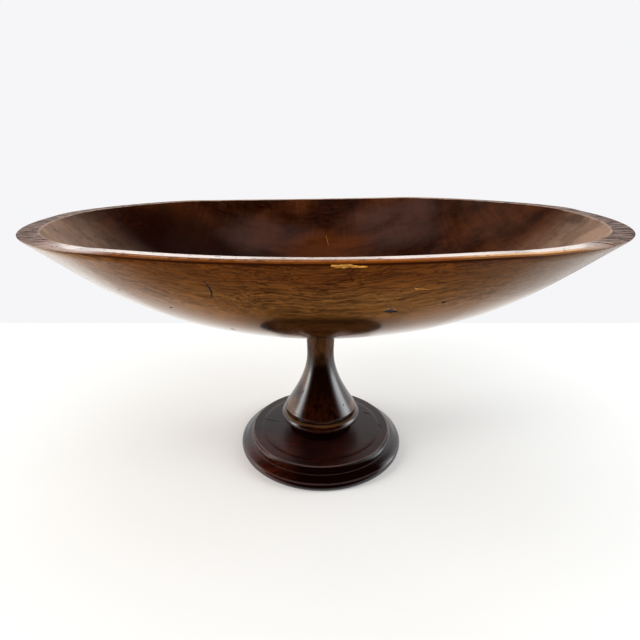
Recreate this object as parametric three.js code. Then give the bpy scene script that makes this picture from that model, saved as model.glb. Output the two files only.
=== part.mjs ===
// A turned wooden pedestal bowl: a wide shallow bowl on a trumpet stem and a moulded round foot.
// Millimetres, +Z up. The origin is on the turning axis, on the surface that the foot stands on.
// Heights stack upwards from the foot, so a change in one piece carries the pieces above it.

import * as THREE from 'three';

// Joints
const jointClearance = 0.3;

// Bowl
const rimRadius = 190;
const bowlRise = 81.2;
const seatMargin = 1.6;
const rimEdgeHeight = 4.4;
const rimEdgeLean = 0.7;
const landWidth = 10.4;
const landFall = 0.4;
const outerArrisRadius = 1.2;
const innerArrisRadius = 0.8;
const floorOverMortise = 6;
const undersideSlope = 0.138;
const undersideFullness = 0.644;
const flankFullness = 0.321;
const flankAngle = THREE.MathUtils.degToRad(41.8);
const floorFullness = 0.6;
const insideFullness = 0.3;
const insideAngle = THREE.MathUtils.degToRad(45);

// Stem, from its shoulder on the foot to its shoulder under the bowl
const plinthHeight = 9.5;
const plinthRadius = 26.4;
const plinthWaist = 1.6;
const waistPlace = 0.6;
const ringRadius = 33.2;
const ringThickness = 6.8;
const ringUndercut = 3.4;
const undercutRise = 0.3;
const grooveHeight = 1.4;
const grooveRadius = 27;
const skirtRadius = 29.9;
const skirtRounding = 2.6;
const skirtShoulder = 1.6;
const skirtTurn = 1;
const skirtTurnFullness = 0.4;
const trumpetHeight = 47.2;
const trumpetTaper = 0.623;
const skirtFullness = 0.32;
const neckFullness = 0.39;
const neckRadius = 11;
const throatHeight = 31.9;
const throatRadius = 13.4;
const throatFullness = 0.35;
const upperTenonRadius = 8;
const upperTenonLength = 11;
const lowerTenonRadius = 13;
const tenonChamfer = 0.8;
const mortiseEndRoom = 0.6;

// Foot, from the surface it stands on upwards
const footRadius = 69;
const standWidth = 13;
const standInset = 1.4;
const recessDepth = 2;
const bulgeHeight = 3.4;
const bulgeFullness = 0.7;
const arrisRise = 2.7;
const arrisInset = 1;
const arrisFullness = 0.6;
const bandRise = 3.1;
const bandRun = 6.3;
const bandCrown = 0.7;
const coveRise = 3.9;
const coveRun = 3.1;
const beadThickness = 1.2;
const beadRounding = 0.6;
const rimRingWidth = 7.6;
const rimRingFall = 0.3;

// Facets round the axis
const bowlFacets = 84;
const stemFacets = 40;
const footFacets = 64;

// Places that follow from the sizes
const arrisHeight = bulgeHeight + arrisRise;
const bandTop = arrisHeight + bandRise;
const coveTop = bandTop + coveRise;
const footHeight = coveTop + beadThickness + rimRingFall;
const stemShoulder = footHeight + jointClearance;
const ringBottom = stemShoulder + plinthHeight;
const ringTop = ringBottom + ringThickness;
const skirtBottom = ringTop + grooveHeight;
const skirtWidest = skirtBottom + skirtRounding;
const trumpetBottom = skirtWidest + skirtShoulder;
const neckHeight = trumpetBottom + trumpetHeight;
const stemTop = neckHeight + throatHeight;
const seatHeight = stemTop + jointClearance;
const seatRadius = throatRadius + seatMargin;
const rimHeight = seatHeight + bowlRise;
const mortiseTop = stemTop + upperTenonLength + mortiseEndRoom;
const floorHeight = mortiseTop + floorOverMortise;

const point = (radius, height) => new THREE.Vector2(radius, height);

// A cubic curve from start to end, sampled without its first point.
function curve(start, startHandle, endHandle, end, steps) {
  return new THREE.CubicBezierCurve(start, startHandle, endHandle, end).getPoints(steps).slice(1);
}

// A curve with one handle, for coves, crowns and worn corners, sampled without its first point.
function bend(start, handle, end, steps) {
  return new THREE.QuadraticBezierCurve(start, handle, end).getPoints(steps).slice(1);
}

// An arc of a circle about a centre, from one angle to another, with both its ends.
function arc(centre, radius, fromDegrees, toDegrees, steps) {
  const points = [];
  for (let i = 0; i <= steps; i += 1) {
    const angle = THREE.MathUtils.degToRad(THREE.MathUtils.lerp(fromDegrees, toDegrees, i / steps));
    points.push(point(centre.x + radius * Math.cos(angle), centre.y + radius * Math.sin(angle)));
  }
  return points;
}

// A point at a distance from another, in a direction given as an angle above the horizontal.
function offset(from, distance, angle) {
  return point(from.x + distance * Math.cos(angle), from.y + distance * Math.sin(angle));
}

// A solid turned about the Z axis from a profile of radius and height.
function turned(name, profile, facets, material) {
  const geometry = new THREE.LatheGeometry(profile, facets);
  geometry.rotateX(Math.PI / 2);
  const mesh = new THREE.Mesh(geometry, material);
  mesh.name = name;
  return mesh;
}

// Bowl: blind mortise, flat seat, full underside, worn outer arris, flat land, dished inside.
function bowlProfile() {
  const mortiseRadius = upperTenonRadius + jointClearance;
  const seatEdge = point(seatRadius, seatHeight);
  const edgeBottom = point(rimRadius - rimEdgeLean, rimHeight - rimEdgeHeight);
  const edgeTop = point(rimRadius, rimHeight - outerArrisRadius);
  const span = edgeBottom.x - seatRadius;
  const undersideAngle = Math.atan(undersideSlope);
  const landOuter = point(rimRadius - outerArrisRadius, rimHeight);
  const landCorner = point(rimRadius - landWidth, rimHeight - landFall);
  const landInner = point(landCorner.x + innerArrisRadius, landCorner.y);
  const insideTop = offset(landCorner, innerArrisRadius, insideAngle + Math.PI);
  return [
    point(0, mortiseTop),
    point(mortiseRadius, mortiseTop),
    point(mortiseRadius, seatHeight),
    seatEdge,
    ...curve(
      seatEdge,
      offset(seatEdge, undersideFullness * span, undersideAngle),
      offset(edgeBottom, flankFullness * span, flankAngle + Math.PI),
      edgeBottom,
      14,
    ),
    edgeTop,
    ...bend(edgeTop, point(rimRadius, rimHeight), landOuter, 2),
    landInner,
    ...bend(landInner, landCorner, insideTop, 2),
    ...curve(
      insideTop,
      offset(insideTop, insideFullness * span, insideAngle + Math.PI),
      point(floorFullness * span, floorHeight),
      point(0, floorHeight),
      13,
    ),
  ];
}

// Stem: lower tenon, waisted plinth, half-round ring, groove, skirt, trumpet, throat, upper tenon.
function stemProfile() {
  const ringCentre = point(ringRadius - ringThickness / 2, ringBottom + ringThickness / 2);
  const plinthFoot = point(plinthRadius, stemShoulder);
  const plinthTop = point(ringCentre.x - ringUndercut, ringBottom + undercutRise);
  const grooveTop = point(grooveRadius, skirtBottom);
  const skirtEdge = point(skirtRadius, skirtWidest);
  const taperAngle = Math.PI / 2 + Math.atan(trumpetTaper);
  const trumpetStart = point(skirtRadius - skirtTurn, trumpetBottom);
  const neck = point(neckRadius, neckHeight);
  const lowerEnd = recessDepth;
  const upperEnd = stemTop + upperTenonLength;
  return [
    point(0, lowerEnd),
    point(lowerTenonRadius - tenonChamfer, lowerEnd),
    point(lowerTenonRadius, lowerEnd + tenonChamfer),
    point(lowerTenonRadius, stemShoulder),
    plinthFoot,
    ...bend(
      plinthFoot,
      point(plinthRadius - 2 * plinthWaist, stemShoulder + waistPlace * plinthHeight),
      plinthTop,
      4,
    ),
    ...arc(ringCentre, ringThickness / 2, -90, 90, 8),
    point(grooveRadius, ringTop),
    grooveTop,
    ...bend(grooveTop, point(skirtRadius, skirtBottom), skirtEdge, 3),
    ...bend(
      skirtEdge,
      point(skirtRadius, skirtWidest + skirtTurnFullness * skirtShoulder),
      trumpetStart,
      2,
    ),
    ...curve(
      trumpetStart,
      offset(trumpetStart, skirtFullness * trumpetHeight, taperAngle),
      point(neckRadius, neckHeight - neckFullness * trumpetHeight),
      neck,
      10,
    ),
    ...bend(
      neck,
      point(neckRadius, neckHeight + throatFullness * throatHeight),
      point(throatRadius, stemTop),
      4,
    ),
    point(upperTenonRadius, stemTop),
    point(upperTenonRadius, upperEnd - tenonChamfer),
    point(upperTenonRadius - tenonChamfer, upperEnd),
    point(0, upperEnd),
  ];
}

// Foot: bored through, hollowed underneath, with a curved-in edge, crowned band, cove and bead.
function footProfile() {
  const boreRadius = lowerTenonRadius + jointClearance;
  const standRadius = footRadius - standInset;
  const recessRadius = standRadius - standWidth;
  const arris = point(footRadius - arrisInset, arrisHeight);
  const bandInner = point(arris.x - bandRun, bandTop);
  const beadRadius = bandInner.x - coveRun;
  const bandNormal = point(bandRise, bandRun).normalize();
  const bandHandle = arris.clone().lerp(bandInner, 0.5).addScaledVector(bandNormal, 2 * bandCrown);
  const standEdge = point(standRadius, 0);
  const bulge = point(footRadius, bulgeHeight);
  const beadTop = coveTop + beadThickness;
  const beadCorner = point(beadRadius, beadTop);
  const beadEdge = point(beadRadius, beadTop - beadRounding);
  const ringEdge = point(beadRadius - rimRingWidth, beadTop);
  const start = point(boreRadius, recessDepth);
  return [
    start,
    point(recessRadius - recessDepth, recessDepth),
    point(recessRadius, 0),
    standEdge,
    ...bend(standEdge, point(footRadius, (1 - bulgeFullness) * bulgeHeight), bulge, 2),
    ...bend(bulge, point(footRadius, bulgeHeight + arrisFullness * arrisRise), arris, 2),
    ...bend(arris, bandHandle, bandInner, 4),
    ...bend(bandInner, point(beadRadius, bandTop), point(beadRadius, coveTop), 4),
    beadEdge,
    ...bend(beadEdge, beadCorner, point(beadRadius - beadRounding, beadTop), 2),
    ringEdge,
    point(ringEdge.x - rimRingFall, footHeight),
    point(boreRadius, footHeight),
    start.clone(),
  ];
}

const bowlWood = new THREE.MeshStandardMaterial({ color: 0x6b3d20, roughness: 0.34, metalness: 0 });
const stemWood = new THREE.MeshStandardMaterial({ color: 0x3b2115, roughness: 0.28, metalness: 0 });
const footWood = new THREE.MeshStandardMaterial({ color: 0x2a1410, roughness: 0.28, metalness: 0 });

const pedestalBowl = new THREE.Group();
pedestalBowl.add(turned('foot', footProfile(), footFacets, footWood));
pedestalBowl.add(turned('stem', stemProfile(), stemFacets, stemWood));
pedestalBowl.add(turned('bowl', bowlProfile(), bowlFacets, bowlWood));

export default pedestalBowl;
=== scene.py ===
"""A turned wooden pedestal bowl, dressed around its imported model. Metres, +Z up, front on -Y."""

import math
import random
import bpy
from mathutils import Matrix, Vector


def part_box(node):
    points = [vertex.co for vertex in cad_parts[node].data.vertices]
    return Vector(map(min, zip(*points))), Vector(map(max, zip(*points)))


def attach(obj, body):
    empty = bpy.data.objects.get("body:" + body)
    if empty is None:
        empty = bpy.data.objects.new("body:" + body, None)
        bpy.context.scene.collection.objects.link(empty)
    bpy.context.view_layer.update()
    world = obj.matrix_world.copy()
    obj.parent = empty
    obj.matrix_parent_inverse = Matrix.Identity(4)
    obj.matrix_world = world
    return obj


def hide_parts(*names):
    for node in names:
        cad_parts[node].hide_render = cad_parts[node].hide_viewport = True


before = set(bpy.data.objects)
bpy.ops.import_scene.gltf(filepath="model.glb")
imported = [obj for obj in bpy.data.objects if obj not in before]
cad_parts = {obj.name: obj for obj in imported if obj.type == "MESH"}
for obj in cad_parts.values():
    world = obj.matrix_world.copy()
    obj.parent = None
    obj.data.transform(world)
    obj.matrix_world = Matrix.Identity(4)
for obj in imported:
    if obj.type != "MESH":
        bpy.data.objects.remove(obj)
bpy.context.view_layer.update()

from types import SimpleNamespace

import bmesh
import bpy
import numpy as np
from mathutils import Matrix, Vector

MM = 0.001
SEED = 7

# The photograph's frame and camera
PHOTO_SIZE = 640
FOCAL_PIXELS = 422.706
CENTRE_X_PIXELS = 310.495
CENTRE_Y_PIXELS = 320.364
CAMERA_PLACE = (0.0, -0.322483, 0.225079)
CAMERA_PITCH_DOWN = math.radians(19.496)
CAMERA_YAW = math.radians(-1.438)
CAMERA_ROLL = math.radians(-0.472)
SENSOR_WIDTH = 36.0
CLIP_START = 0.01

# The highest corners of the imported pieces, in millimetres
BOWL_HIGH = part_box("bowl")[1] / MM
STEM_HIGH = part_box("stem")[1] / MM
FOOT_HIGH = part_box("foot")[1] / MM

# Facets round each piece, and the angle from which an edge stays sharp
BOWL_FACETS = 960
STEM_FACETS = 288
FOOT_FACETS = 480
SHARP_ANGLE = math.radians(38)

# Joints, in millimetres
FIT_GAP = 0.12
UPPER_TENON_RADIUS = 8.0
UPPER_TENON_LENGTH = 11.0
LOWER_TENON_RADIUS = 13.0
TENON_CHAMFER = 0.8
MORTISE_END_ROOM = 0.6
RECESS_DEPTH = 2.0

# Bowl, in millimetres
WARP_ROOM = 1.1
RIM_RADIUS = BOWL_HIGH.x
RIM_HEIGHT = BOWL_HIGH.z - WARP_ROOM
SEAT_RADIUS = 15.0
SEAT_HEIGHT = STEM_HIGH.z - UPPER_TENON_LENGTH + FIT_GAP
UNDERSIDE_ANGLE = math.atan(0.138)
UNDERSIDE_FULLNESS = 0.644
FLANK_ANGLE = math.radians(221.8)
FLANK_FULLNESS = 0.321
RIM_EDGE_HEIGHT = 1.15
RIM_EDGE_LEAN = 0.3
LAND_WIDTH = 10.4
LAND_FALL = 0.15
WORN_WIDTH = 3.6
WORN_FALL = 0.4
WORN_HANDLE = (0.2, 0.05)
INNER_ARRIS = 0.8
INSIDE_ANGLE = math.radians(225)
INSIDE_FULLNESS = 0.3
FLOOR_FULLNESS = 0.6
BOWL_FLOOR = 133.5

# The old plank's warp: the waves round the rim, two and three to a turn, as cosine and sine
# parts in millimetres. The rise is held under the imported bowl's top.
WARP_TWOS = (0.246, 0.567)
WARP_THREES = (-0.216, 1.563)
WARP_RISE = 0.95
WARP_STEEPNESS = 2.4
CROSS_GRAIN_SHRINK = 0.01

# Stem: radii, heights and curve handles in millimetres
PLINTH_RADIUS = 26.4
PLINTH_WAIST_HANDLE = (23.2, 20.6)
PLINTH_TOP = (26.4, 24.7)
RING_CENTRE = (29.8, 27.8)
RING_SIZE = 3.4
GROOVE_RADIUS = 27.0
SKIRT_LOW_HEIGHT = 32.6
SKIRT_RADIUS = 29.9
SKIRT_HEIGHT = 35.2
SKIRT_TURN_HEIGHT = 35.85
TRUMPET_START = (28.9, 36.8)
TRUMPET_HANDLE_LENGTH = 15.1
TRUMPET_ANGLE = math.pi / 2 + math.atan(0.623)
NECK_RADIUS = 11.0
NECK_LOW_HANDLE_HEIGHT = 65.6
NECK_HEIGHT = 84.0
NECK_HIGH_HANDLE_HEIGHT = 95.2
THROAT_RADIUS = 13.4

# Foot: insets, heights and widths in millimetres
STAND_INSET = 1.4
STAND_WIDTH = 13.0
RECESS_SLOPE = 2.0
RECESS_HANDLE = (0.6, 0.4)
STAND_HANDLE_HEIGHT = 1.0
BULGE_HEIGHT = 3.4
BULGE_HANDLE_HEIGHT = 5.2
ARRIS_INSET = 1.0
ARRIS_HEIGHT = 6.1
BAND_HANDLE = (65.2, 8.9)
BAND_RUN = 6.3
BAND_HEIGHT = 9.2
COVE_RUN = 3.1
COVE_HEIGHT = 13.1
BEAD_HEIGHT = 13.7
BEAD_ROUNDING = 0.6
RING_LINE_WIDTH = 7.6
RING_LINE_FALL = 0.3
RING_LINE_SLOPE = 3.6


# Profiles

def bezier(*handles, steps):
    """Points on a curve with three or four handles, without its first point."""
    t = np.linspace(0, 1, steps + 1)[1:, None]
    order = len(handles) - 1
    shares = [math.comb(order, k) * t**k * (1 - t) ** (order - k) for k in range(order + 1)]
    return sum(share * np.array(handle, float) for share, handle in zip(shares, handles))


def straight(start, end, steps):
    """Points on a line, without its first point."""
    return bezier(start, np.add(start, end) / 2, end, steps=steps)


def away(point, distance, angle):
    """The point at a distance from another, at an angle above the horizontal."""
    return (point[0] + distance * math.cos(angle), point[1] + distance * math.sin(angle))


def bowl_profile():
    """The bowl's half section, from its mortise round the outside and over the rim to the floor."""
    mortise_top = STEM_HIGH.z + MORTISE_END_ROOM
    mortise_radius = UPPER_TENON_RADIUS + FIT_GAP
    seat = (SEAT_RADIUS, SEAT_HEIGHT)
    edge_low = (RIM_RADIUS - RIM_EDGE_LEAN, RIM_HEIGHT - RIM_EDGE_HEIGHT)
    edge_high = (RIM_RADIUS, RIM_HEIGHT - WORN_FALL)
    worn_handle = (RIM_RADIUS - WORN_HANDLE[0], RIM_HEIGHT - WORN_HANDLE[1])
    land_outer = (RIM_RADIUS - WORN_WIDTH, RIM_HEIGHT)
    land_corner = (RIM_RADIUS - LAND_WIDTH, RIM_HEIGHT - LAND_FALL)
    land_inner = (land_corner[0] + INNER_ARRIS, land_corner[1])
    inside_top = away(land_corner, INNER_ARRIS, INSIDE_ANGLE)
    span = edge_low[0] - SEAT_RADIUS
    underside_handle = away(seat, UNDERSIDE_FULLNESS * span, UNDERSIDE_ANGLE)
    flank_handle = away(edge_low, FLANK_FULLNESS * span, FLANK_ANGLE)
    inside_handle = away(inside_top, INSIDE_FULLNESS * span, INSIDE_ANGLE)
    floor_handle = (FLOOR_FULLNESS * span, BOWL_FLOOR)
    parts = [
        [(0, mortise_top), (mortise_radius, mortise_top), (mortise_radius, SEAT_HEIGHT), seat],
        bezier(seat, underside_handle, flank_handle, edge_low, steps=38),
        straight(edge_low, edge_high, 3),
        bezier(edge_high, worn_handle, land_outer, steps=8),
        straight(land_outer, land_inner, 8),
        bezier(land_inner, land_corner, inside_top, steps=4),
        bezier(inside_top, inside_handle, floor_handle, (0, BOWL_FLOOR), steps=34),
    ]
    return np.vstack(parts)


def stem_profile():
    """The stem's half section, from its lower tenon to its upper one."""
    low, high = RECESS_DEPTH, STEM_HIGH.z
    shoulder = FOOT_HIGH.z + FIT_GAP
    top = high - UPPER_TENON_LENGTH
    plinth = (PLINTH_RADIUS, shoulder)
    ring_angles = np.radians(np.linspace(-90, 90, 25))
    ring = [away(RING_CENTRE, RING_SIZE, angle) for angle in ring_angles]
    groove = (GROOVE_RADIUS, RING_CENTRE[1] + RING_SIZE)
    skirt_low = (GROOVE_RADIUS, SKIRT_LOW_HEIGHT)
    skirt = (SKIRT_RADIUS, SKIRT_HEIGHT)
    trumpet_handle = away(TRUMPET_START, TRUMPET_HANDLE_LENGTH, TRUMPET_ANGLE)
    neck = (NECK_RADIUS, NECK_HEIGHT)
    neck_low_handle = (NECK_RADIUS, NECK_LOW_HANDLE_HEIGHT)
    neck_high_handle = (NECK_RADIUS, NECK_HIGH_HANDLE_HEIGHT)
    parts = [
        [(0, low), (LOWER_TENON_RADIUS - TENON_CHAMFER, low)],
        [(LOWER_TENON_RADIUS, low + TENON_CHAMFER), (LOWER_TENON_RADIUS, shoulder), plinth],
        bezier(plinth, PLINTH_WAIST_HANDLE, PLINTH_TOP, steps=12),
        ring,
        straight(ring[-1], groove, 3),
        straight(groove, skirt_low, 2),
        bezier(skirt_low, (SKIRT_RADIUS, SKIRT_LOW_HEIGHT), skirt, steps=8),
        bezier(skirt, (SKIRT_RADIUS, SKIRT_TURN_HEIGHT), TRUMPET_START, steps=5),
        bezier(TRUMPET_START, trumpet_handle, neck_low_handle, neck, steps=44),
        bezier(neck, neck_high_handle, (THROAT_RADIUS, top), steps=20),
        [(UPPER_TENON_RADIUS, top), (UPPER_TENON_RADIUS, high - TENON_CHAMFER)],
        [(UPPER_TENON_RADIUS - TENON_CHAMFER, high), (0, high)],
    ]
    return np.vstack(parts)


def foot_profile():
    """The foot's half section, a closed loop from its bore underneath, round the edge and back."""
    bore = LOWER_TENON_RADIUS + FIT_GAP
    radius = FOOT_HIGH.x
    top = FOOT_HIGH.z
    start = (bore, RECESS_DEPTH)
    stand_outer = (radius - STAND_INSET, 0.0)
    stand_inner = (stand_outer[0] - STAND_WIDTH, 0.0)
    recess_edge = (stand_inner[0] - RECESS_SLOPE, RECESS_DEPTH)
    recess_handle = (stand_inner[0] - RECESS_HANDLE[0], RECESS_HANDLE[1])
    bulge = (radius, BULGE_HEIGHT)
    arris = (radius - ARRIS_INSET, ARRIS_HEIGHT)
    band_top = (arris[0] - BAND_RUN, BAND_HEIGHT)
    bead_radius = band_top[0] - COVE_RUN
    cove_top = (bead_radius, COVE_HEIGHT)
    bead_low = (bead_radius, BEAD_HEIGHT)
    bead_corner = (bead_radius, top - RING_LINE_FALL)
    bead_high = (bead_radius - BEAD_ROUNDING, top - RING_LINE_FALL)
    ring_line = (bead_radius - RING_LINE_WIDTH, top - RING_LINE_FALL)
    ring_handle = (ring_line[0] - RING_LINE_FALL, top)
    inner = (ring_line[0] - RING_LINE_SLOPE, top)
    parts = [
        [start],
        straight(start, recess_edge, 12),
        bezier(recess_edge, recess_handle, stand_inner, steps=4),
        straight(stand_inner, stand_outer, 5),
        bezier(stand_outer, (radius, STAND_HANDLE_HEIGHT), bulge, steps=7),
        bezier(bulge, (radius, BULGE_HANDLE_HEIGHT), arris, steps=7),
        bezier(arris, BAND_HANDLE, band_top, steps=12),
        bezier(band_top, (bead_radius, BAND_HEIGHT), cove_top, steps=12),
        straight(cove_top, bead_low, 2),
        bezier(bead_low, bead_corner, bead_high, steps=5),
        straight(bead_high, ring_line, 7),
        bezier(ring_line, ring_handle, inner, steps=3),
        straight(inner, (bore, top), 24),
        [start],
    ]
    return np.vstack(parts)


# Meshes

def turned_faces(numbers, closed):
    """The faces between rows of numbered points; an open profile gets a fan at each pole."""
    beside = np.roll(numbers, -1, axis=1)
    above = np.roll(numbers, -1, axis=0)
    beside_above = np.roll(beside, -1, axis=0)
    rows = slice(None) if closed else slice(1, -2)
    corners = [part[rows] for part in (numbers, beside, beside_above, above)]
    faces = np.stack(corners, axis=-1).reshape(-1, 4).tolist()
    if not closed:
        faces += [(numbers[0, 0], b, a) for a, b in zip(numbers[1], beside[1])]
        faces += [(numbers[-1, 0], a, b) for a, b in zip(numbers[-2], beside[-2])]
    return faces


def turned(name, profile, facets, warp):
    """A piece turned about Z from a profile in millimetres, and then warped."""
    closed = np.allclose(profile[0], profile[-1])
    rows = profile[:-1] if closed else profile
    angles = np.linspace(0, 2 * math.pi, facets, endpoint=False)
    radius, angle = np.meshgrid(rows[:, 0], angles, indexing="ij")
    height = np.repeat(rows[:, 1:2], facets, axis=1)
    lift, kept = warp(radius, angle)
    radius = radius * kept
    height = height + lift
    grid = np.stack([radius * np.cos(angle), radius * np.sin(angle), height], axis=-1) * MM
    numbers = np.arange(len(rows) * facets).reshape(-1, facets)
    mesh = bpy.data.meshes.new(name)
    mesh.from_pydata(grid.reshape(-1, 3).tolist(), [], turned_faces(numbers, closed))
    work = bmesh.new()
    work.from_mesh(mesh)
    # A pole's row has a point for every facet, and its fan uses only the first
    loose = [vertex for vertex in work.verts if not vertex.link_faces]
    bmesh.ops.delete(work, geom=loose, context="VERTS")
    bmesh.ops.recalc_face_normals(work, faces=work.faces)
    work.to_mesh(mesh)
    work.free()
    piece = bpy.data.objects.new(name, mesh)
    bpy.context.scene.collection.objects.link(piece)
    mesh.shade_smooth()
    mesh.set_sharp_from_angle(angle=SHARP_ANGLE)
    return piece


def bowl_warp(radius, angle):
    """How much the old bowl lifts by its warp, and how far each place keeps its radius."""
    share = (radius / RIM_RADIUS) ** 2
    wave = (
        WARP_TWOS[0] * np.cos(2 * angle) + WARP_TWOS[1] * np.sin(2 * angle)
        + WARP_THREES[0] * np.cos(3 * angle) + WARP_THREES[1] * np.sin(3 * angle)
    )
    rise = WARP_ROOM * WARP_RISE * np.tanh(WARP_STEEPNESS * wave / WARP_ROOM)
    kept = 1 - CROSS_GRAIN_SHRINK * share * np.sin(angle) ** 2
    return np.where(wave > 0, rise, wave) * share, kept


def no_warp(radius, angle):
    """The warp of a piece that stays round and level."""
    return 0 * radius, 0 * radius + 1


def note_turned_place(piece, warp):
    """Keeps each point's place before the warp, in millimetres, for the finishes to follow."""
    places = np.empty(len(piece.data.vertices) * 3, np.float32)
    piece.data.vertices.foreach_get("co", places)
    x, y, z = places.reshape(-1, 3).T / MM
    lift, kept = warp(np.hypot(x, y), np.arctan2(y, x))
    turned_place = np.stack([x / kept, y / kept, z - lift], axis=-1).astype(np.float32)
    attribute = piece.data.attributes.new("turned_place", "FLOAT_VECTOR", "POINT")
    attribute.data.foreach_set("vector", turned_place.ravel())


# Marks that are cut into the wood: the wood in the cut, places in millimetres near the surface,
# the half width and the depth. The cut is laid on the nearest places of the surface. FRESH and
# DARK are the numbers of the bare woods among a piece's materials.

FRESH, DARK = 1, 2

RIM_CHIP = (FRESH, [
    (3.4, -187.9, 195.9), (5.4, -187.8, 195.1), (7.4, -187.7, 195.0),
    (9.2, -187.7, 195.5), (11.4, -187.5, 194.9), (15.4, -187.3, 194.4),
], 0.95, 0.6)
WALL_SCRATCH = (FRESH, [(34.7, -171.8, 183.5), (37.9, -170.6, 183.0), (41.6, -169.2, 182.5)], 0.3, 0.3)
INSIDE_SCRATCH = (FRESH, [
    (5.9, 134.0, 159.1), (6.7, 129.4, 156.6), (7.7, 124.4, 154.3), (8.2, 117.5, 151.2),
], 0.16, 0.2)
CRESCENT = (DARK, [
    (-43.0, -173.8, 187.0), (-42.0, -172.2, 185.2), (-41.7, -168.9, 182.3),
    (-42.1, -166.2, 179.9), (-43.6, -162.8, 177.0),
], 0.42, 0.5)
KNOT = (DARK, [(26.2, -159.0, 170.8), (28.8, -157.7, 170.0), (31.8, -156.7, 169.5)], 1.3, 0.5)
DOT_RIGHT_OF_KNOT = (DARK, [(49.5, -156.8, 173.5), (51.6, -156.5, 173.6)], 0.85, 0.6)
DOT_FAR_LEFT = (DARK, [(-91.7, -139.8, 174.9), (-91.4, -138.4, 173.8)], 0.4, 0.4)
DASH_LOW_LEFT = (DARK, [(-69.3, -139.6, 165.9), (-67.1, -141.6, 166.7)], 0.4, 0.5)
DOT_LOW_LEFT = (DARK, [(-44.8, -126.5, 151.0), (-42.9, -124.6, 149.7)], 1.0, 0.6)
PIN_HOLE = (DARK, [(2.3, -178.6, 186.7), (3.3, -178.2, 186.5)], 0.3, 0.4)
TICK_RIGHT = (DARK, [(106.6, -132.2, 176.3), (107.4, -134.4, 178.2)], 0.35, 0.35)
LAND_CRACK = (DARK, [
    (118.5, -135.5, 196.6), (120.2, -139.1, 196.6), (121.6, -142.7, 196.6), (123.6, -145.4, 196.6),
], 0.9, 1.2)
TICK_LEFT_END = (DARK, [(-166.1, -59.8, 191.9), (-163.7, -59.0, 189.7)], 0.5, 0.4)
WORM_HOLE_RIGHT = (DARK, [(109.5, 96.8, 167.9), (110.6, 96.2, 167.9)], 0.6, 0.5)
WORM_HOLE_BACK = (DARK, [(-38.5, 148.1, 171.4), (-37.2, 148.3, 171.4)], 0.6, 0.5)
BOWL_CUTS = [
    RIM_CHIP, WALL_SCRATCH, INSIDE_SCRATCH, CRESCENT, KNOT, DOT_RIGHT_OF_KNOT, DOT_FAR_LEFT,
    DASH_LOW_LEFT, DOT_LOW_LEFT, PIN_HOLE, TICK_RIGHT, LAND_CRACK, TICK_LEFT_END,
    WORM_HOLE_RIGHT, WORM_HOLE_BACK,
]

TRUMPET_DENT = (DARK, [(-15.0, -13.6, 51.2), (-14.4, -13.2, 53.0), (-13.2, -13.2, 54.4)], 0.4, 0.5)
SKIRT_TICK = (DARK, [(19.0, -16.8, 41.8), (19.2, -16.4, 43.8)], 0.45, 0.5)
NECK_TICK = (DARK, [(15.3, 0.7, 61.4), (15.2, -0.2, 63.4)], 0.4, 0.5)
STEM_CUTS = [TRUMPET_DENT, SKIRT_TICK, NECK_TICK]

CRACK_LEFT = (DARK, [
    (-51.5, 6.6, 14.4), (-46.0, 4.4, 14.6), (-41.0, 3.0, 14.6), (-36.5, 0.8, 14.6),
], 0.4, 0.9)
CRACK_RIGHT = (DARK, [(39.6, 18.4, 14.6), (42.5, 16.2, 14.6), (46.0, 14.8, 14.6)], 0.5, 1.0)
SHORT_CRACK_RIGHT = (DARK, [(50.4, -0.9, 14.5), (51.8, -3.0, 14.4), (52.9, -5.6, 14.3)], 0.35, 0.7)
FRONT_SCRATCH = (DARK, [(-22.0, -34.0, 14.6), (-16.0, -35.5, 14.6), (-10.0, -36.0, 14.6)], 0.25, 0.4)
FOOT_CUTS = [CRACK_LEFT, CRACK_RIGHT, SHORT_CRACK_RIGHT, FRONT_SCRATCH]

# Small dents along the front of the land: how many, where, and the ranges of their sizes
LAND_DENTS = 34
LAND_DENT_SPAN = (math.radians(228), math.radians(312))
LAND_DENT_RADII = (RIM_RADIUS - 10.0, RIM_RADIUS - 4.0)
LAND_DENT_HALF_LENGTHS = (0.3, 1.1)
LAND_DENT_SIZES = (0.2, 0.45)

# How a cut is laid: the step along it in millimetres and the least number of steps, the sides
# of its tube, how far its widest place lies from the middle, how full it is, and its raggedness
CUT_STEP = 0.8
LEAST_CUT_STEPS = 4
CUT_SIDES = 8
CUT_LEAN = 0.7
CUT_FULLNESS = 0.6
CUT_RAGGEDNESS = (0.75, 1.25)


def cut_tube(work, spine, half_width, depth, mark, chance):
    """Adds one tapered, uneven tube that lies half in the surface along a spine of places."""
    count = len(spine)
    rings = []
    for number, (place, normal, along) in enumerate(spine):
        across = normal.cross(along).normalized()
        share = math.sin(math.pi * ((number + 0.5) / count) ** CUT_LEAN) ** CUT_FULLNESS
        ring = []
        for side in range(CUT_SIDES):
            turn = 2 * math.pi * side / CUT_SIDES
            rough = chance.uniform(*CUT_RAGGEDNESS)
            sideways = across * (half_width * share * rough * math.cos(turn))
            inwards = normal * (depth * share * math.sin(turn) * rough)
            ring.append(work.verts.new((place + sideways + inwards) * MM))
        rings.append(ring)
    for lower, upper in zip(rings, rings[1:]):
        for side in range(CUT_SIDES):
            following = (side + 1) % CUT_SIDES
            face = work.faces.new((lower[side], lower[following], upper[following], upper[side]))
            face.material_index = mark
    for ring in (rings[0], rings[-1]):
        work.faces.new(ring).material_index = mark


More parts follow.
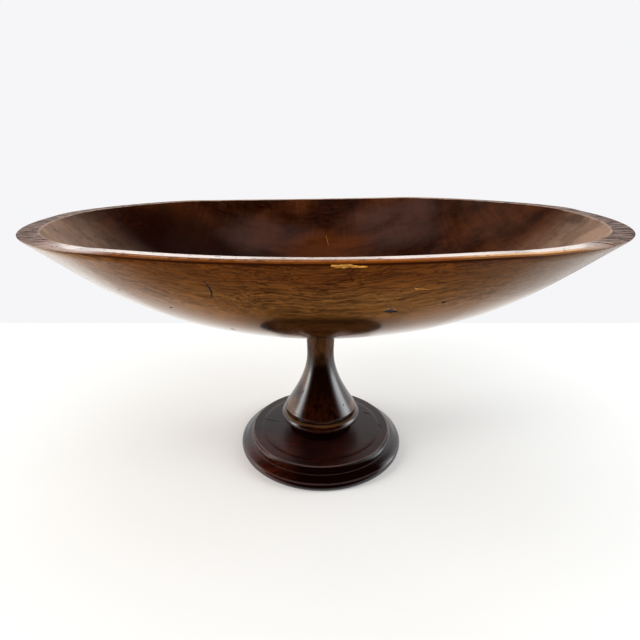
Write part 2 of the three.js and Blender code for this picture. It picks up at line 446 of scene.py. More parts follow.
def laid_spine(piece, places):
    """Places along a path laid on the nearest surface, with its normal and direction."""
    lengths = [(Vector(b) - Vector(a)).length for a, b in zip(places, places[1:])]
    count = max(LEAST_CUT_STEPS, int(sum(lengths) / CUT_STEP))
    distances = np.linspace(0, sum(lengths), count + 1)
    stations = np.concatenate([[0], np.cumsum(lengths)])
    path = np.stack([np.interp(distances, stations, track) for track in zip(*places)], axis=-1)
    laid = []
    for place in path:
        _, nearest, normal, _ = piece.closest_point_on_mesh(Vector(place) * MM)
        laid.append((nearest / MM, normal))
    spine = []
    for number, (nearest, normal) in enumerate(laid):
        ahead = laid[min(number + 1, count)][0] - laid[max(number - 1, 0)][0]
        spine.append((nearest, normal, ahead.normalized()))
    return spine


def carve(piece, cuts, chance):
    """Cuts the marks out of a piece; each cut leaves its own bare wood."""
    work = bmesh.new()
    for mark, places, half_width, depth in cuts:
        cut_tube(work, laid_spine(piece, places), half_width, depth, mark, chance)
    bmesh.ops.recalc_face_normals(work, faces=work.faces)
    mesh = bpy.data.meshes.new("cutter")
    work.to_mesh(mesh)
    work.free()
    for material in piece.data.materials:
        mesh.materials.append(material)
    cutter = bpy.data.objects.new("cutter", mesh)
    bpy.context.scene.collection.objects.link(cutter)
    difference = piece.modifiers.new("marks", "BOOLEAN")
    difference.operation = "DIFFERENCE"
    difference.solver = "MANIFOLD"
    difference.object = cutter
    bpy.context.view_layer.update()
    carved = bpy.data.meshes.new_from_object(piece.evaluated_get(bpy.context.evaluated_depsgraph_get()))
    piece.modifiers.clear()
    piece.data = carved
    bpy.data.objects.remove(cutter)
    carved.set_sharp_from_angle(angle=SHARP_ANGLE)


def land_dents(chance):
    """Small dark dents scattered along the front of the bowl's land."""
    cuts = []
    for _ in range(LAND_DENTS):
        middle = chance.uniform(*LAND_DENT_SPAN)
        radius = chance.uniform(*LAND_DENT_RADII)
        half = chance.uniform(*LAND_DENT_HALF_LENGTHS) / radius
        angles = (middle - half, middle + half)
        ends = [(radius * math.cos(angle), radius * math.sin(angle), RIM_HEIGHT) for angle in angles]
        cuts.append((DARK, ends, chance.uniform(*LAND_DENT_SIZES), chance.uniform(*LAND_DENT_SIZES)))
    return cuts


# Shader helpers

NODES_PER_COLUMN = 8
NODE_SPACING = 200


class Wiring:
    """Adds nodes to one shader tree; most methods give the output that they make."""

    def __init__(self, tree):
        self.tree = tree

    def feed(self, node, inputs):
        """Sets or links a node's inputs."""
        for key, value in inputs.items():
            if isinstance(value, bpy.types.NodeSocket):
                self.tree.links.new(value, node.inputs[key])
            else:
                node.inputs[key].default_value = value

    def add(self, kind, inputs, **settings):
        """A node with its properties, and with each input set or linked."""
        made = self.tree.nodes.new(kind)
        column, row = divmod(len(self.tree.nodes), NODES_PER_COLUMN)
        made.location = (column * NODE_SPACING, -row * NODE_SPACING)
        for key, value in settings.items():
            setattr(made, key, value)
        self.feed(made, inputs)
        return made

    def math(self, operation, *values):
        """Arithmetic on single values."""
        return self.add("ShaderNodeMath", dict(enumerate(values)), operation=operation).outputs[0]

    def times(self, first, second):
        """The product of two values."""
        return self.math("MULTIPLY", first, second)

    def vector(self, operation, *values, output=0):
        """Arithmetic on vectors."""
        made = self.add("ShaderNodeVectorMath", dict(enumerate(values)), operation=operation)
        return made.outputs[output]

    def length(self, vector):
        """The length of a vector."""
        return self.vector("LENGTH", vector, output=1)

    def split(self, vector):
        """The three parts of a vector."""
        return self.add("ShaderNodeSeparateXYZ", {0: vector}).outputs

    def joined(self, x, y, z):
        """A vector from three values."""
        return self.add("ShaderNodeCombineXYZ", {0: x, 1: y, 2: z}).outputs[0]

    def ramp(self, value, low, high, start=0.0, end=1.0):
        """A smooth change from start to end while the value goes from low to high."""
        inputs = {"Value": value, "From Min": low, "From Max": high, "To Min": start, "To Max": end}
        return self.add("ShaderNodeMapRange", inputs, interpolation_type="SMOOTHSTEP").outputs[0]

    def blend(self, share, first, second):
        """A mix of two colours, whose sockets come after the node's sockets for other kinds."""
        return self.add("ShaderNodeMix", {0: share, 6: first, 7: second}, data_type="RGBA").outputs[2]

    def noise(self, place, scale, detail=2.0, roughness=0.5, colour=False):
        """Noise in space, as a value or as a colour."""
        inputs = {"Vector": place, "Scale": scale, "Detail": detail, "Roughness": roughness}
        return self.add("ShaderNodeTexNoise", inputs).outputs[1 if colour else 0]

    def drawn_noise(self, place, scales, detail=2.0, roughness=0.5):
        """Noise with a scale of its own along each axis."""
        return self.noise(self.vector("MULTIPLY", place, scales), 1.0, detail, roughness)

    def facing(self):
        """How far a surface turns away from the eye, from 0 to 1."""
        return self.add("ShaderNodeLayerWeight", {"Blend": 0.5}).outputs["Facing"]

    def bump(self, height, strength, distance):
        """The normal of a surface with fine relief."""
        inputs = {"Strength": strength, "Distance": distance, "Height": height}
        return self.add("ShaderNodeBump", inputs).outputs[0]

    def group(self, group_tree, **inputs):
        """A shared node group, with its outputs by name."""
        return self.add("ShaderNodeGroup", inputs, node_tree=group_tree).outputs


def shared_group(name, inputs, outputs):
    """An empty node group with named sockets: its wiring and its inputs."""
    tree = bpy.data.node_groups.new(name, "ShaderNodeTree")
    for in_out, sockets in (("INPUT", inputs), ("OUTPUT", outputs)):
        for socket_name, kind in sockets.items():
            tree.interface.new_socket(socket_name, in_out=in_out, socket_type="NodeSocket" + kind)
    wiring = Wiring(tree)
    return wiring, wiring.add("NodeGroupInput", {}).outputs


def close_group(wiring, **values):
    """Links the results to the group's outputs."""
    wiring.add("NodeGroupOutput", values)
    return wiring.tree


def make_fibres():
    """Wood fibres that run along X, with short dark pores and a broad figure."""
    w, given = shared_group(
        "wood_fibres",
        {"Place": "Vector", "Length": "Float", "Thickness": "Float"},
        {"Fibre": "Float", "Pore": "Float", "Figure": "Float", "Height": "Float"},
    )
    place = given["Place"]
    bend = w.vector("SUBTRACT", w.noise(place, 0.022, 2.0, colour=True), (0.5, 0.5, 0.5))
    ripple = w.vector("SUBTRACT", w.noise(place, 0.11, 1.0, colour=True), (0.5, 0.5, 0.5))
    bent = w.vector("ADD", place, w.vector("MULTIPLY", bend, (0.0, 22.0, 22.0)))
    bent = w.vector("ADD", bent, w.vector("MULTIPLY", ripple, (0.0, 3.0, 3.0)))
    along = w.math("DIVIDE", 1.0, given["Length"])
    across = w.math("DIVIDE", 1.0, given["Thickness"])
    drawn = w.vector("MULTIPLY", bent, w.joined(along, across, across))
    fine = w.noise(drawn, 1.0, 3.0, 0.65)
    coarse = w.drawn_noise(drawn, (0.45, 0.28, 0.28))
    streaks = w.math("ADD", w.times(fine, 0.6), w.times(coarse, 0.4))
    fibre = w.ramp(streaks, 0.4, 0.6)
    pore = w.ramp(w.drawn_noise(drawn, (0.8, 1.6, 1.6), 1.0), 0.6, 0.72)
    figure = w.ramp(w.drawn_noise(bent, (0.012, 0.034, 0.034)), 0.35, 0.65)
    height = w.math("SUBTRACT", w.times(fibre, 0.5), pore)
    return close_group(w, Fibre=fibre, Pore=pore, Figure=figure, Height=height)


def make_ring_band():
    """How near a place is to a circle about the turning axis, with a ragged edge."""
    sizes = ("Radius", "Level", "Reach", "Raggedness")
    inputs = {"Place": "Vector", **{size: "Float" for size in sizes}}
    w, given = shared_group("ring_band", inputs, {"Mask": "Float"})
    x, y, z = w.split(given["Place"])
    out = w.math("SUBTRACT", w.length(w.joined(x, y, 0.0)), given["Radius"])
    up = w.math("SUBTRACT", z, given["Level"])
    distance = w.math("DIVIDE", w.length(w.joined(out, up, 0.0)), given["Reach"])
    rough = w.math("SUBTRACT", w.drawn_noise(given["Place"], (0.14, 0.14, 0.6), 4.0, 0.65), 0.5)
    ragged = w.math("MULTIPLY_ADD", rough, given["Raggedness"], distance)
    return close_group(w, Mask=w.ramp(ragged, 0.55, 1.0, 1.0, 0.0))


def make_spot():
    """A ragged patch about a centre, such as a stain, a dot or a blotch."""
    inputs = {"Place": "Vector", "Centre": "Vector", "Size": "Vector", "Raggedness": "Float"}
    w, given = shared_group("spot", inputs, {"Mask": "Float"})
    apart = w.vector("DIVIDE", w.vector("SUBTRACT", given["Place"], given["Centre"]), given["Size"])
    rough = w.math("SUBTRACT", w.noise(apart, 1.3, 3.0, 0.6), 0.5)
    ragged = w.math("MULTIPLY_ADD", rough, given["Raggedness"], w.length(apart))
    return close_group(w, Mask=w.ramp(ragged, 0.35, 1.0, 1.0, 0.0))


FIBRES = make_fibres()
RING_BAND = make_ring_band()
SPOT = make_spot()


def fibres(w, place, length, thickness):
    """The outputs of the shared fibres, with the length and thickness in millimetres."""
    return w.group(FIBRES, Place=place, Length=length, Thickness=thickness)


def ring_band(w, place, radius, level, reach, raggedness):
    """The mask of a band round a piece."""
    sizes = {"Radius": radius, "Level": level, "Reach": reach, "Raggedness": raggedness}
    return w.group(RING_BAND, Place=place, **sizes)["Mask"]


def spot(w, place, centre, size, raggedness):
    """The mask of a ragged patch."""
    return w.group(SPOT, Place=place, Centre=centre, Size=size, Raggedness=raggedness)["Mask"]


def tinted(w, colour, mask, strength, tint):
    """A colour with a tint laid over it where the mask is."""
    return w.blend(w.times(mask, strength), colour, tint)


def with_patches(w, place, colour, patches, tint):
    """A colour with ragged patches of a tint."""
    for centre, size, raggedness, strength in patches:
        colour = tinted(w, colour, spot(w, place, centre, size, raggedness), strength, tint)
    return colour


def with_rubbed_edges(w, place, colour, edges, rubbed):
    """A colour with its edges rubbed lighter."""
    for radius, level, reach, raggedness, strength in edges:
        mask = ring_band(w, place, radius, level, reach, raggedness)
        colour = tinted(w, colour, mask, strength, rubbed)
    return colour


def new_material(name):
    """A material's shader and its wiring, with the place on the piece in millimetres."""
    material = bpy.data.materials.new(name)
    material.use_nodes = True
    w = Wiring(material.node_tree)
    shader = material.node_tree.nodes["Principled BSDF"]
    place = w.add("ShaderNodeAttribute", {}, attribute_name="turned_place").outputs["Vector"]
    return material, shader, w, place


def opaque(red, green, blue):
    """A colour with full alpha."""
    return (red, green, blue, 1.0)


# The bowl's finish. Places and sizes are in millimetres.

PALE_LINE = opaque(0.42, 0.29, 0.23)
STAIN = opaque(0.02, 0.008, 0.004)

# Patches are given by centre, size, raggedness and strength

BOWL_STAINS = [
    ((-148.8, 90.9, 190.7), (9.0, 16.0, 10.0), 0.9, 0.3),
    ((54.4, 157.8, 183.8), (15.0, 9.0, 8.0), 0.9, 0.3),
    ((174.0, -22.0, 193.0), (9.0, 22.0, 6.0), 0.9, 0.5),
    ((-22.5, -186.5, 194.9), (6.0, 4.0, 1.2), 0.9, 0.9),
    ((-7.0, -187.8, 195.0), (4.5, 3.0, 1.0), 0.9, 0.8),
    ((3.0, -179.0, 191.0), (9.0, 8.0, 4.0), 0.9, 0.45),
    ((29.0, -157.7, 170.2), (4.4, 4.0, 2.6), 0.9, 0.75),
]
INSIDE_GLOOM = [((-115.0, 50.0, 160.0), (75, 130, 70), 0.5, 0.85)]
# Grey patches of painted sheen on the inside
INSIDE_PAINTED_SHEEN = [
    ((75.0, 128.0, 176.0), (80, 60, 45), 0.8, 0.65),
    ((-52.0, 122.0, 160.0), (62, 60, 32), 0.8, 0.5),
]
INSIDE_GLOW = [((8.0, 112.0, 150.0), (62, 50, 26), 0.7, 0.55)]

# The stretch of the rim's edge that is rubbed most: centre, size and raggedness
RUBBED_MOST = ((95.0, -165.0, 195.0), (125, 90, 40), 0.5)

# The two lines that wear follows round the land: radius, level, reach and raggedness
OUTER_WEAR = (188.2, RIM_HEIGHT - 0.2, 2.8, 0.6)
INNER_WEAR = (179.7, RIM_HEIGHT - 0.4, 0.7, 1.1)

# Two strips low on the wall, in front of the stem: where each fades to the sides and up the wall. The
# dull one takes the gloss down; the other is painted shade where the wall mirrors the dark foot.
STRIP_MIDDLE = 2.0
DULL_STRIP = ((27.0, 20.0), (156.0, 147.0))
PAINTED_SHADE_STRIP = ((42.0, 30.0), (159.0, 151.0))


def bowl_places(w, place):
    """The places, sides and grains that the parts of the bowl's finish share."""
    at = SimpleNamespace(place=place)
    at.x, at.y, at.z = w.split(place)
    at.radius = w.length(w.joined(at.x, at.y, 0.0))
    upward = w.split(w.add("ShaderNodeNewGeometry", {}).outputs["Normal"])[2]
    at.inside = w.ramp(upward, -0.08, 0.08)
    at.land = w.times(at.inside, w.ramp(at.radius, 179.2, 180.4))
    at.ends = w.ramp(w.math("ABSOLUTE", at.x), 95.0, 178.0)
    at.rubbed_front = w.times(w.ramp(at.y, -148.0, -165.0), w.ramp(at.x, -98.0, -70.0))
    at.facing = w.facing()
    at.grain = fibres(w, place, 7.0, 0.5)
    at.long_grain = fibres(w, place, 16.0, 0.8)
    at.open_grain = w.drawn_noise(place, (0.1, 0.3, 0.3), 4.0, 0.7)
    return at


def low_strip(w, at, sides, up_wall):
    """A strip low on the wall's front, which shows where the wall is seen at a slant."""
    from_middle = w.math("ABSOLUTE", w.math("SUBTRACT", at.x, STRIP_MIDDLE))
    strip = w.times(w.ramp(from_middle, *sides), w.ramp(at.radius, *up_wall))
    slanting = w.times(w.ramp(at.facing, 0.5, 0.7, 0.0, 0.6), w.ramp(at.y, -60.0, -100.0))
    return w.times(strip, slanting)


def bowl_wall_colour(w, at):
    """Brown figured wood, redder near the rim, with painted sheen at the left end, painted grey
    reflection at the right and painted shade in front of the stem.
    """
    dark = opaque(0.032, 0.01, 0.002)
    middle = opaque(0.205, 0.08, 0.019)
    light = opaque(0.36, 0.16, 0.05)
    umber = opaque(0.036, 0.007, 0.0004)
    amber = opaque(0.12, 0.03, 0.0022)
    tan = opaque(0.56, 0.42, 0.3)
    painted_reflection_grey = opaque(0.066, 0.053, 0.05)
    painted_shade_wine = opaque(0.018, 0.0014, 0.0004)
    fibre = at.grain["Fibre"]
    wall = w.blend(fibre, dark, middle)
    glow = w.times(at.long_grain["Fibre"], at.grain["Figure"])
    wall = tinted(w, wall, glow, w.ramp(at.x, -20.0, 60.0, 0.62, 0.44), light)
    near_rim = w.ramp(at.z, 176.0, 190.0, 0.0, 0.85)
    wall = tinted(w, wall, near_rim, w.ramp(at.x, -110.0, -60.0), w.blend(fibre, umber, amber))
    even = w.math("MULTIPLY_ADD", fibre, -0.3, 1.0)
    # Painted sheen: tan over the left end of the wall, partly lighter wood, strongest where the wall is
    # seen at a slant
    painted_left_sheen = w.ramp(at.x, -152.0, -84.0, 1.0, 0.0)
    painted_left_sheen = w.times(painted_left_sheen, w.ramp(at.facing, 0.4, 0.74, 0.16, 1.0))
    wall = tinted(w, wall, even, painted_left_sheen, tan)
    # Painted reflection: a cool grey over the right of the wall, strongest where the wall is seen at a
    # slant
    painted_right_reflection = w.times(w.ramp(at.x, 34.0, 118.0), w.ramp(at.facing, 0.2, 0.5, 0.45, 1.0))
    wall = tinted(w, wall, even, painted_right_reflection, painted_reflection_grey)
    # Painted shade: a dark wine colour in front of the stem stands for the wall's dark mirror image of
    # the foot
    return w.blend(low_strip(w, at, *PAINTED_SHADE_STRIP), wall, painted_shade_wine)


def bowl_dust_and_sheen(w, at):
    """Dust in the open grain at both ends of the inside, partly painted sheen, thickest towards the
    front.
    """
    right = w.times(w.ramp(at.x, 122.0, 146.0), w.ramp(at.y, 22.0, -82.0, 0.03, 0.88))
    left = w.times(w.ramp(at.x, -122.0, -146.0), w.ramp(at.y, 34.0, -82.0, 0.0, 0.7))
    dust_and_sheen = w.math("MAXIMUM", left, right)
    patches = w.drawn_noise(at.place, (0.03, 0.05, 0.05), 4.0, 0.6)
    dust_and_sheen = w.times(dust_and_sheen, w.ramp(patches, 0.4, 0.6, 0.65, 1.0))
    return w.times(dust_and_sheen, w.ramp(at.open_grain, 0.36, 0.5, 0.72, 1.0))


def bowl_inside_colour(w, at):
    """Very dark wood with red clouds, dark runs, broad patches, grey patches of painted sheen, and ends
    of dust and painted sheen.
    """
    deep = opaque(0.008, 0.001, 0.0003)
    reddish = opaque(0.08, 0.021, 0.006)
    painted_sheen_veil = opaque(0.065, 0.034, 0.028)
    glowing = opaque(0.12, 0.028, 0.004)
    dusty_and_sheen = opaque(0.43, 0.27, 0.185)
    clouds = w.ramp(w.noise(at.place, 0.016, 3.0, 0.6), 0.38, 0.66)
    inside = w.blend(clouds, deep, reddish)
    inside = tinted(w, inside, at.long_grain["Fibre"], 0.35, reddish)
    runs = w.ramp(w.drawn_noise(at.place, (0.3, 0.014, 0.03), 3.0, 0.6), 0.42, 0.62)
    inside = tinted(w, inside, runs, 0.3, deep)
    inside = with_patches(w, at.place, inside, INSIDE_GLOOM, deep)
    # Painted sheen: grey veil patches
    inside = with_patches(w, at.place, inside, INSIDE_PAINTED_SHEEN, painted_sheen_veil)
    inside = with_patches(w, at.place, inside, INSIDE_GLOW, glowing)
    mottle = w.ramp(w.drawn_noise(at.place, (0.02, 0.035, 0.035), 4.0, 0.6), 0.4, 0.75)
    inside = tinted(w, inside, mottle, 0.6, deep)
    # The pale ends are partly dust and partly painted sheen
    return w.blend(bowl_dust_and_sheen(w, at), inside, dusty_and_sheen)


def bowl_land_colour(w, at):
    """The bleached land: pale lines, weathered ends with furrows, a tan back and dark specks."""
    bleached = opaque(0.34, 0.2, 0.14)
    weathered = opaque(0.175, 0.113, 0.093)
    furrow = opaque(0.04, 0.02, 0.014)
    back_tan = opaque(0.34, 0.17, 0.08)
    land = w.blend(at.long_grain["Fibre"], bleached, PALE_LINE)
    land = w.blend(w.ramp(at.ends, 0.1, 0.6, 0.0, 0.92), land, weathered)
    furrows = w.ramp(at.open_grain, 0.49, 0.55)
    land = tinted(w, land, furrows, w.ramp(at.ends, 0.1, 0.5), furrow)
    scratches = w.times(w.ramp(at.open_grain, 0.44, 0.38), at.ends)
    land = tinted(w, land, scratches, 0.75, PALE_LINE)
    land = w.blend(w.ramp(at.y, 90.0, 150.0), land, back_tan)
    specks = w.ramp(w.drawn_noise(at.place, (0.5, 0.9, 0.9)), 0.6, 0.68)
    return tinted(w, land, specks, 0.6, furrow)


def rubbed_colour(w, at):
    """The rubbed outer edge: orange in the middle, duller to the left, paler to the right."""
    rubbed = opaque(0.36, 0.095, 0.005)
    rubbed_dull = opaque(0.4, 0.15, 0.045)
    rubbed_pale = opaque(0.72, 0.38, 0.14)
    rubbed_less = opaque(0.12, 0.036, 0.007)
    rubbed_edge = opaque(0.13, 0.03, 0.001)
    scuffs = w.drawn_noise(at.place, (0.3, 0.5, 0.9), 4.0, 0.65)
    scuffs = w.math("ADD", scuffs, w.times(spot(w, at.place, *RUBBED_MOST), 0.12))
    worn = w.blend(w.ramp(at.x, -30.0, 0.0), rubbed_dull, rubbed)
    worn = w.blend(w.ramp(at.x, 38.0, 62.0), worn, rubbed_pale)
    worn = w.blend(w.ramp(scuffs, 0.42, 0.55), rubbed_less, worn)
    gold_from = w.ramp(at.x, -15.0, 20.0, 186.9, 186.0)
    gold = w.ramp(at.radius, gold_from, w.math("ADD", gold_from, 0.7))
    gold = w.times(gold, w.ramp(scuffs, 0.4, 0.5))
    worn = w.blend(w.math("SUBTRACT", 1.0, gold), worn, rubbed_less)
    return w.blend(w.ramp(at.radius, 188.0, 189.2, 0.0, 0.85), worn, rubbed_edge)


def bowl_rim_wear(w, at, colour):
    """A colour with the dark red upright edge, the rubbed outer edge and the pale inner one."""
    edge_red = opaque(0.028, 0.005, 0.0005)
    edge = w.times(w.ramp(at.z, RIM_HEIGHT - 0.3, RIM_HEIGHT - 0.5), w.ramp(at.radius, 189.0, 189.5))
    red = w.times(w.ramp(at.x, -98.0, -60.0, 0.6, 0.95), w.ramp(at.x, 55.0, 100.0, 1.0, 0.2))
    colour = tinted(w, colour, edge, red, edge_red)
    outer = w.times(ring_band(w, at.place, *OUTER_WEAR), at.rubbed_front)
    top = w.ramp(at.z, RIM_HEIGHT - 0.7, RIM_HEIGHT - 0.4)
    colour = tinted(w, colour, outer, top, rubbed_colour(w, at))
    inner = ring_band(w, at.place, *INNER_WEAR)
    broken = w.ramp(w.noise(at.place, 0.09, 3.0, 0.6), 0.35, 0.6, 0.25, 0.8)
    return tinted(w, colour, inner, broken, PALE_LINE)


def bowl_colour(w, at):
    """The bowl's colour on all its sides, with stains, pores and wear."""
    colour = w.blend(at.inside, bowl_wall_colour(w, at), bowl_inside_colour(w, at))
    colour = w.blend(at.land, colour, bowl_land_colour(w, at))
    colour = with_patches(w, at.place, colour, BOWL_STAINS, STAIN)
    colour = tinted(w, colour, at.grain["Pore"], 0.6, STAIN)
    return bowl_rim_wear(w, at, colour)


def land_gloss(w, at):
    """The land's gloss: most in the middle of the front, and less on its rounded edge."""
    gloss = w.times(w.ramp(at.ends, 0.0, 0.3, 0.85, 0.05), w.ramp(at.y, -60.0, 40.0, 1.0, 0.15))
    dark_patch = w.times(w.ramp(at.x, -34.0, -14.0), w.ramp(at.x, 28.0, 12.0))
    dull_from = w.math("MULTIPLY_ADD", dark_patch, -1.5, 185.7)
    rounded = w.ramp(at.radius, dull_from, w.math("ADD", dull_from, 1.1))
    rounded = w.times(rounded, w.ramp(at.rubbed_front, 0.0, 1.0, 0.5, 1.0))
    gloss = w.times(gloss, w.math("SUBTRACT", 1.0, rounded))
    return w.times(gloss, w.math("MULTIPLY_ADD", dark_patch, -0.3, 0.95))


def bowl_gloss(w, at):
    """The wall's satin glance, and the gloss on the wall, the inside and the land."""
    outside = w.math("SUBTRACT", 1.0, at.inside)
    dulled = w.math("MULTIPLY_ADD", low_strip(w, at, *DULL_STRIP), -0.97, 1.0)
    sleek = w.times(outside, dulled)
    satin = w.times(sleek, w.ramp(at.facing, 0.5, 0.72, 0.0, 0.97))
    wall = w.times(w.ramp(at.facing, 0.64, 0.93, 0.02, 1.0), w.ramp(at.x, 30.0, 110.0, 1.0, 0.5))
    patches = w.noise(w.vector("ADD", at.place, (40.0, 0.0, 0.0)), 0.012, 2.0)
    patches = w.ramp(patches, 0.42, 0.62, 0.0, 0.04)
    gloss = w.math("ADD", w.times(sleek, wall), w.times(at.inside, patches))
    return satin, w.math("MAXIMUM", gloss, w.times(at.land, land_gloss(w, at)))


def make_bowl_wood():
    """Brown figured wood: satin outside, dark inside, a bleached land and rubbed arrises."""
    material, shader, w, place = new_material("bowl_finish")
    at = bowl_places(w, place)
    satin, gloss = bowl_gloss(w, at)
    dullness = w.math("MULTIPLY_ADD", at.grain["Fibre"], -0.25, 1.0)
    relief = w.times(at.grain["Height"], w.ramp(at.radius, 156.0, 172.0, 0.06, 1.0))
    # Metallic gives the waxed wall its sheen, and only where the wall is seen at a slant
    w.feed(shader, {
        "Base Color": bowl_colour(w, at),
        "Roughness": w.times(dullness, w.ramp(at.radius, 150.0, 172.0, 0.12, 0.38)),
        "Metallic": satin,
        "IOR": 1.1,
        "Specular IOR Level": 0.02,
        "Specular Tint": opaque(0.8, 0.62, 0.5),
        "Coat Weight": gloss,
        "Coat Roughness": 0.14,
        "Normal": w.bump(relief, 0.5, 0.00016),
    })
    return material


# The finish of the stem, the foot and the bare wood. Places and sizes are in millimetres.

BARE_WOOD_DULLED = 0.55

# Rubbed edges: radius, level, reach, raggedness and strength. The foot's rubbed edges also carry
# painted highlights.
STEM_RUBBED = [(30.4, 31.3, 1.8, 1.6, 0.16)]
FOOT_RUBBED_AND_HIGHLIT = [
    (58.4, 14.2, 0.8, 1.0, 0.32),
    (68.2, 6.0, 0.8, 1.0, 0.16),
    (61.7, 9.3, 0.5, 1.0, 0.12),
]

# Worn patches on the stem: centre, size, raggedness and strength
STEM_WORN = [
    ((5.0, -26.5, 31.9), (15.0, 6.0, 0.6), 0.8, 1.0),
    ((-25.0, -13.0, 41.0), (9.0, 12.0, 14.0), 0.8, 0.3),
    ((28.0, -8.0, 38.5), (5.0, 12.0, 5.0), 0.8, 0.3),
    ((-14.0, -8.0, 66.0), (7.0, 10.0, 18.0), 0.8, 0.3),
]

# The redder side of the foot: centre, size and raggedness
WARM_SIDE = ((-42.0, -36.0, 8.0), (40, 40, 26), 0.8)


def make_stem_wood():
    """Dark turned wood, glossy at the sides, mottled on the neck and rubbed on its edges."""
    dark = opaque(0.003, 0.0006, 0.0002)
    brown = opaque(0.024, 0.0045, 0.001)
    neck_brown = opaque(0.028, 0.01, 0.003)
    mottled = opaque(0.075, 0.028, 0.008)
    tan = opaque(0.26, 0.115, 0.042)
    rubbed = opaque(0.38, 0.18, 0.06)
    material, shader, w, place = new_material("stem_finish")
    x, y, z = w.split(place)
    grain = fibres(w, w.joined(z, y, x), 12.0, 0.7)
    colour = tinted(w, dark, grain["Fibre"], w.ramp(z, 40.0, 62.0, 1.0, 0.15), brown)
    on_neck = w.ramp(z, 72.0, 90.0)
    colour = w.blend(on_neck, colour, neck_brown)
    blotches = w.ramp(w.drawn_noise(place, (0.3, 0.3, 0.13), 4.0, 0.65), 0.36, 0.68)
    colour = tinted(w, colour, on_neck, blotches, mottled)
    colour = with_patches(w, place, colour, STEM_WORN, tan)
    colour = with_rubbed_edges(w, place, colour, STEM_RUBBED, rubbed)
    # Painted shade: the plinth in the undercut under the ring is left plain dark
    above_plinth_shade = w.ramp(z, 24.0, 26.5)
    gloss = w.times(above_plinth_shade, w.ramp(w.facing(), 0.08, 0.3))
    w.feed(shader, {
        "Base Color": w.blend(above_plinth_shade, dark, colour),
        "Roughness": w.math("MULTIPLY_ADD", grain["Fibre"], -0.1, 0.35),
        "IOR": 1.1,
        "Specular IOR Level": 0.03,
        "Coat Weight": w.times(gloss, w.math("MULTIPLY_ADD", on_neck, -0.62, 1.0)),
        "Coat Roughness": 0.25,
        "Coat IOR": 1.62,
        "Normal": w.bump(grain["Height"], 0.3, 0.0001),
    })
    return material


def make_foot_wood():
    """Very dark red-brown wood with rubbed arrises that are also painted highlights."""
    dark = opaque(0.004, 0.0007, 0.0004)
    reddish = opaque(0.07, 0.012, 0.005)
    # The pale violet-grey rubbed colour is partly wear and partly painted highlight
    rubbed = opaque(0.2, 0.13, 0.12)
    material, shader, w, place = new_material("foot_finish")
    z = w.split(place)[2]
    grain = fibres(w, place, 14.0, 1.0)
    warm = w.times(spot(w, place, *WARM_SIDE), 0.7)
    figured = w.math("MULTIPLY_ADD", grain["Figure"], 0.22, 0.06)
    red = w.math("MAXIMUM", warm, w.times(w.ramp(z, 13.2, 14.2), figured))
    colour = tinted(w, dark, w.math("MULTIPLY_ADD", grain["Fibre"], 0.7, 0.3), red, reddish)
    w.feed(shader, {
        "Base Color": with_rubbed_edges(w, place, colour, FOOT_RUBBED_AND_HIGHLIT, rubbed),
        "Roughness": w.math("MULTIPLY_ADD", grain["Fibre"], -0.1, 0.36),
        "IOR": 1.1,
        "Specular IOR Level": 0.03,
        "Coat Weight": w.times(w.ramp(w.facing(), 0.2, 0.45), w.ramp(z, 13.4, 14.0, 1.0, 0.5)),
        "Coat Roughness": w.ramp(z, 13.4, 14.0, 0.24, 0.34),
        "Coat IOR": 1.65,
        "Normal": w.bump(grain["Height"], 0.3, 0.0001),
    })
    return material


def make_bare_wood(name, colour, roughness):
    """The plain wood in a cut: a fresh chip or the dark bottom of a crack."""
    material, shader, w, place = new_material(name)
    dull = opaque(*(BARE_WOOD_DULLED * part for part in colour))
    w.feed(shader, {
        "Base Color": w.blend(fibres(w, place, 6.0, 0.5)["Fibre"], dull, opaque(*colour)),
        "Roughness": roughness,
        "Specular IOR Level": 0.2,
    })
    return material


# Pieces

def make_pieces():
    """Turns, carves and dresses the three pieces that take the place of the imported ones."""
    chance = random.Random(SEED)
    pieces = {
        "bowl": turned("turned_bowl", bowl_profile(), BOWL_FACETS, bowl_warp),
        "stem": turned("turned_stem", stem_profile(), STEM_FACETS, no_warp),
        "foot": turned("turned_foot", foot_profile(), FOOT_FACETS, no_warp),
    }
    warps = {"bowl": bowl_warp, "stem": no_warp, "foot": no_warp}
    cuts = {"bowl": BOWL_CUTS + land_dents(chance), "stem": STEM_CUTS, "foot": FOOT_CUTS}
    woods = {"bowl": make_bowl_wood(), "stem": make_stem_wood(), "foot": make_foot_wood()}
    fresh = make_bare_wood("fresh_wood", (0.78, 0.37, 0.055), 0.5)
    crack = make_bare_wood("dark_crack", (0.01, 0.004, 0.003), 0.6)
    for name, piece in pieces.items():
        for material in (woods[name], fresh, crack):
            piece.data.materials.append(material)
        carve(piece, cuts[name], chance)
        note_turned_place(piece, warps[name])
        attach(piece, "root")
        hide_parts(name)


# Studio, in metres

TABLE_SIDE = 3.0
TABLE_FRONT = -3.0
TABLE_BACK = 0.3
TABLE_PAINT = opaque(0.925, 0.922, 0.9)
SURROUND_LIGHT = 0.68
SURROUND_SEEN = opaque(0.92, 0.92, 0.94)

# Lamps: name, place, what they point at, width and height, brightness, colour
LAMPS = [
    ("left_window", (-1.14, -0.28, 0.63), (0, 0, 0.63), (0.4, 1.24), 9.9, (1.0, 1.0, 1.0)),
    ("right_window", (1.175, -0.04, 0.63), (0, 0, 0.63), (0.7, 1.24), 5.6, (0.92, 0.965, 1.0)),
    ("back_softbox", (0, 1.6, 0.54), (0, 0, 0.2), (2.4, 0.36), 1.25, (1.0, 0.94, 0.89)),
]


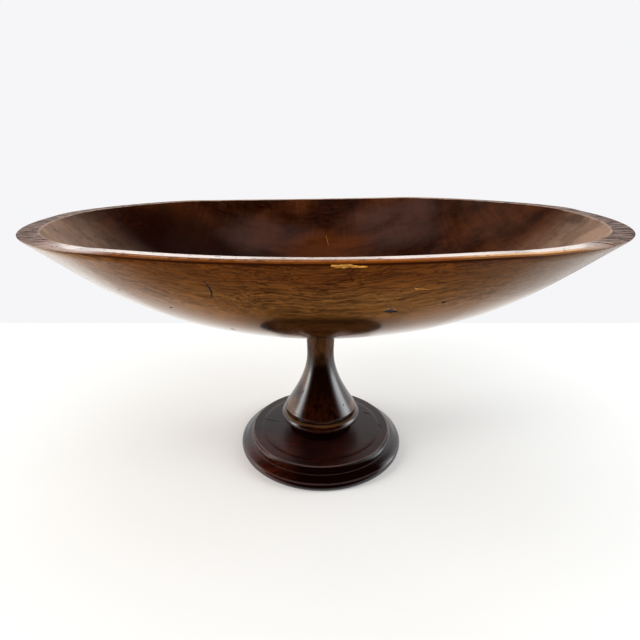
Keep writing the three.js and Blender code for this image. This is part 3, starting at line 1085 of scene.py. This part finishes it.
def make_camera():
    """The photograph's view."""
    pitch, yaw, roll = CAMERA_PITCH_DOWN, CAMERA_YAW, CAMERA_ROLL
    ahead = math.cos(pitch)
    forward = Vector((math.sin(yaw) * ahead, math.cos(yaw) * ahead, -math.sin(pitch)))
    level = Vector((math.cos(yaw), -math.sin(yaw), 0))
    up = level.cross(forward)
    right = math.cos(roll) * level + math.sin(roll) * up
    above = -math.sin(roll) * level + math.cos(roll) * up
    data = bpy.data.cameras.new("camera")
    data.sensor_fit = "HORIZONTAL"
    data.sensor_width = SENSOR_WIDTH
    data.lens = FOCAL_PIXELS / PHOTO_SIZE * SENSOR_WIDTH
    data.shift_x = (PHOTO_SIZE / 2 - CENTRE_X_PIXELS) / PHOTO_SIZE
    data.shift_y = (CENTRE_Y_PIXELS - PHOTO_SIZE / 2) / PHOTO_SIZE
    data.clip_start = CLIP_START
    camera = bpy.data.objects.new("camera", data)
    axes = Matrix((right, above, -forward)).transposed().to_4x4()
    camera.matrix_world = Matrix.Translation(CAMERA_PLACE) @ axes
    bpy.context.scene.collection.objects.link(camera)
    bpy.context.scene.camera = camera


def make_softbox(name, place, target, size, radiance, colour):
    """A soft rectangular lamp whose face has the given brightness, where 1 is white."""
    data = bpy.data.lights.new(name, "AREA")
    data.shape = "RECTANGLE"
    data.size, data.size_y = size
    data.energy = radiance * math.pi * size[0] * size[1]
    data.color = colour
    lamp = bpy.data.objects.new(name, data)
    direction = Vector(target) - Vector(place)
    lamp.rotation_euler = direction.to_track_quat("-Z", "Y").to_euler()
    lamp.location = place
    bpy.context.scene.collection.objects.link(lamp)
    lamp.visible_camera = False


def make_table():
    """The pale table top that the foot stands on."""
    mesh = bpy.data.meshes.new("table")
    side, front, back = TABLE_SIDE, TABLE_FRONT, TABLE_BACK
    corners = [(-side, front, 0), (side, front, 0), (side, back, 0), (-side, back, 0)]
    mesh.from_pydata(corners, [], [(0, 1, 2, 3)])
    floor = bpy.data.objects.new("floor", mesh)
    bpy.context.scene.collection.objects.link(floor)
    paint = bpy.data.materials.new("floor_paint")
    paint.use_nodes = True
    finish = {"Base Color": TABLE_PAINT, "Roughness": 0.7, "Specular IOR Level": 0.1}
    Wiring(paint.node_tree).feed(paint.node_tree.nodes["Principled BSDF"], finish)
    mesh.materials.append(paint)


def make_surround():
    """A near-white surround, which lights the object less than it shows to the camera."""
    world = bpy.data.worlds.new("surround")
    bpy.context.scene.world = world
    world.use_nodes = True
    world.node_tree.nodes.clear()
    w = Wiring(world.node_tree)
    ray = w.add("ShaderNodeLightPath", {}).outputs
    seen = w.math("MAXIMUM", ray["Is Camera Ray"], ray["Is Glossy Ray"])
    seen = w.math("MAXIMUM", seen, ray["Is Transmission Ray"])
    light = {"Color": opaque(1.0, 1.0, 1.0), "Strength": SURROUND_LIGHT}
    fill = w.add("ShaderNodeBackground", light)
    backdrop = w.add("ShaderNodeBackground", {"Color": SURROUND_SEEN, "Strength": 1.0})
    mix = w.add("ShaderNodeMixShader", {0: seen, 1: fill.outputs[0], 2: backdrop.outputs[0]})
    w.add("ShaderNodeOutputWorld", {"Surface": mix.outputs[0]})


make_camera()
make_table()
for lamp in LAMPS:
    make_softbox(*lamp)
make_surround()
bpy.context.scene.view_settings.view_transform = "Standard"
make_pieces()
